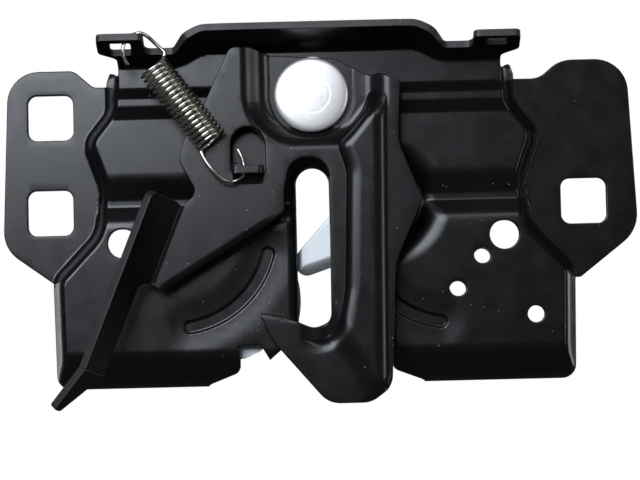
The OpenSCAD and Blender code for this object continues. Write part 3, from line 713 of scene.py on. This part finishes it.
# Fork bolt, a thick plate with rolled edges
fork = {"back": 1.0, "thick": 4.0, "boreR": 7.5, "edge": 0.5, "rollX": 12, "roll": 2.6, "rollWide": 4}
forkLoop = roundedLoop([
    [-6.6, -6.4, 0.6], [-6.6, -15.2, 4], [15.5, -7.8, 4.5], [18.8, -17.7, 4.5], [9, -21, 1.2],
    [8.3, -27.6, 1.2], [11.5, -28.9, 0.6], [13.1, -24.4, 1.5], [20.6, -26.2, 10], [31, -26, 6],
    [36.5, -8, 15], [39.5, 12, 9], [36, 24, 8], [22, 26.5, 9], [6.5, 7.9, 14]])


def forkDepth(x, z):
    # a flat face that rolls over along the finger's lower edge and its tip
    low = (z + 15) * 0.951 - (x + 6.6) * 0.309
    near = np.clip(np.minimum(low, x + 7.6), 0, fork["rollWide"])
    drop = fork["roll"] * (1 - near / fork["rollWide"]) ** 2
    return fork["back"] + fork["thick"] - np.where(x < fork["rollX"], drop, 0)


forkHoles = [ring(forkPivot, fork["boreR"])]
forkSkin = addMesh("forkSkin", *sheetArrays([forkLoop], forkHoles, forkDepth, fork["thick"],
                                            fine=0.5, coarse=6, edge=fork["edge"]))
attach(forkSkin, "fork")
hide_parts("fork_bolt")
for name in ("back_plate", "pawl"):
    bevelled(frame["nodes"][name], fork["edge"])
print("stage: fork")


# Light
def areaLight(name, spot, target, size, power, color=(1, 1, 1)):
    lamp = bpy.data.lights.new(name, "AREA")
    lamp.shape = "RECTANGLE"
    lamp.size, lamp.size_y = size
    lamp.energy = power
    lamp.color = color
    lampObject = bpy.data.objects.new(name, lamp)
    bpy.context.scene.collection.objects.link(lampObject)
    lampObject.location = spot
    lampObject.rotation_euler = (Vector(target) - Vector(spot)).to_track_quat("-Z", "Y").to_euler()
    return lampObject


# A large soft box above and left of the camera, its lower right corner near the camera's axis; a faint one
# above right; a strip on the right and strips behind both sides that catch the steep walls
areaLight("softBox", (-0.52, -1.0, 0.46), (-0.52, 0, 0.46), (0.96, 0.68), 14, (0.93, 0.98, 1.06))
areaLight("topStrip", (0.31, -0.85, 0.63), (0, 0, 0), (0.5, 0.2), 0.8)
areaLight("rightStrip", (0.95, -0.55, 0.0), (0, 0, 0), (0.15, 0.6), 1.2)
areaLight("rightBack", (0.9, 0.6, 0.0), (0, 0, 0), (0.3, 0.6), 1.2)
areaLight("leftBack", (-0.71, 0.84, 0.0), (0, 0, 0), (0.15, 0.6), 0.6)

world = bpy.data.worlds.new("studio")
bpy.context.scene.world = world
world.use_nodes = True
tree = world.node_tree
tree.nodes.clear()
out = tree.nodes.new("ShaderNodeOutputWorld")
mix = tree.nodes.new("ShaderNodeMixShader")
rays = tree.nodes.new("ShaderNodeLightPath")
dim = tree.nodes.new("ShaderNodeBackground")
dim.inputs["Color"].default_value = (1, 1, 1, 1)
dim.inputs["Strength"].default_value = 0.05
white = tree.nodes.new("ShaderNodeBackground")
white.inputs["Color"].default_value = (1, 1, 1, 1)
white.inputs["Strength"].default_value = 1.0
tree.links.new(rays.outputs["Is Camera Ray"], mix.inputs["Fac"])
tree.links.new(dim.outputs["Background"], mix.inputs[1])
tree.links.new(white.outputs["Background"], mix.inputs[2])
tree.links.new(mix.outputs["Shader"], out.inputs["Surface"])


dust = {"cells": 420, "r": 0.075, "color": (0.35, 0.34, 0.31, 1)}


def material(name, color, rough, metal, grain, dents, specks=0.0):
    # a coat with fine grain in its relief, roughness that wanders a little and sparse dust
    m = bpy.data.materials.new(name)
    m.use_nodes = True
    nodes, links = m.node_tree.nodes, m.node_tree.links
    b = nodes["Principled BSDF"]
    b.inputs["Metallic"].default_value = metal
    spot = nodes.new("ShaderNodeTexCoord").outputs["Object"]
    fine = nodes.new("ShaderNodeTexNoise")
    fine.inputs["Scale"].default_value = grain
    fine.inputs["Detail"].default_value = 4
    links.new(spot, fine.inputs["Vector"])
    broad = nodes.new("ShaderNodeTexNoise")
    broad.inputs["Scale"].default_value = grain * 0.07
    broad.inputs["Detail"].default_value = 3
    links.new(spot, broad.inputs["Vector"])
    wander = nodes.new("ShaderNodeMapRange")
    wander.inputs["From Min"].default_value = 0.3
    wander.inputs["From Max"].default_value = 0.7
    wander.inputs["To Min"].default_value = rough * 0.88
    wander.inputs["To Max"].default_value = rough * 1.12
    links.new(broad.outputs["Fac"], wander.inputs["Value"])
    links.new(wander.outputs["Result"], b.inputs["Roughness"])
    bump = nodes.new("ShaderNodeBump")
    bump.inputs["Strength"].default_value = dents
    bump.inputs["Distance"].default_value = 0.0001
    links.new(fine.outputs["Fac"], bump.inputs["Height"])
    links.new(bump.outputs["Normal"], b.inputs["Normal"])
    b.inputs["Base Color"].default_value = (*color, 1)
    if specks:
        cells = nodes.new("ShaderNodeTexVoronoi")
        cells.inputs["Scale"].default_value = dust["cells"]
        links.new(spot, cells.inputs["Vector"])
        near = nodes.new("ShaderNodeMath")
        near.operation = "LESS_THAN"
        near.inputs[1].default_value = dust["r"]
        links.new(cells.outputs["Distance"], near.inputs[0])
        chosen = nodes.new("ShaderNodeMath")
        chosen.operation = "LESS_THAN"
        chosen.inputs[1].default_value = specks
        links.new(cells.outputs["Color"], chosen.inputs[0])
        both = nodes.new("ShaderNodeMath")
        both.operation = "MULTIPLY"
        links.new(near.outputs["Value"], both.inputs[0])
        links.new(chosen.outputs["Value"], both.inputs[1])
        tint = nodes.new("ShaderNodeMix")
        tint.data_type = "RGBA"
        tint.inputs["A"].default_value = (*color, 1)
        tint.inputs["B"].default_value = dust["color"]
        links.new(both.outputs["Value"], tint.inputs["Factor"])
        links.new(tint.outputs["Result"], b.inputs["Base Color"])
    return m


blackCoat = material("blackCoat", (0.0045, 0.005, 0.0058), 0.25, 0.0, 2200, 0.10, specks=0.16)
cutEdge = material("cutEdge", (0.02, 0.02, 0.021), 0.45, 0.0, 1500, 0.7, specks=0.3)
zincCoat = material("zincCoat", (0.93, 0.92, 0.91), 0.36, 0.6, 1100, 0.22)
wireCoat = material("wireCoat", (0.74, 0.71, 0.65), 0.17, 1.0, 900, 0.05)
zincPlate = material("zincPlate", (0.8, 0.85, 0.88), 0.45, 0.7, 1500, 0.1)
looks = {"black_coat": blackCoat, "black_lever": blackCoat, "zinc_plate": zincPlate, "zinc_rivet": zincCoat,
         "bush_metal": zincCoat, "spring_wire": wireCoat}
slots = {s["node"]: s["material_slot"] for s in frame["record"]["subparts"]}
for name, node in frame["nodes"].items():
    node.data.materials.clear()
    node.data.materials.append(looks[slots[name]])
for piece in (plateSkin, leverSkin, leverTab, tabEnd):
    piece.data.materials.append(blackCoat)
    piece.data.materials.append(cutEdge)
for piece in (collar, tabFillet, leverLug, lugFillet):
    piece.data.materials.append(blackCoat)
for side in range(2):
    forkSkin.data.materials.append(zincPlate)
rivetHead.data.materials.append(zincCoat)
leverSpring.data.materials.append(wireCoat)
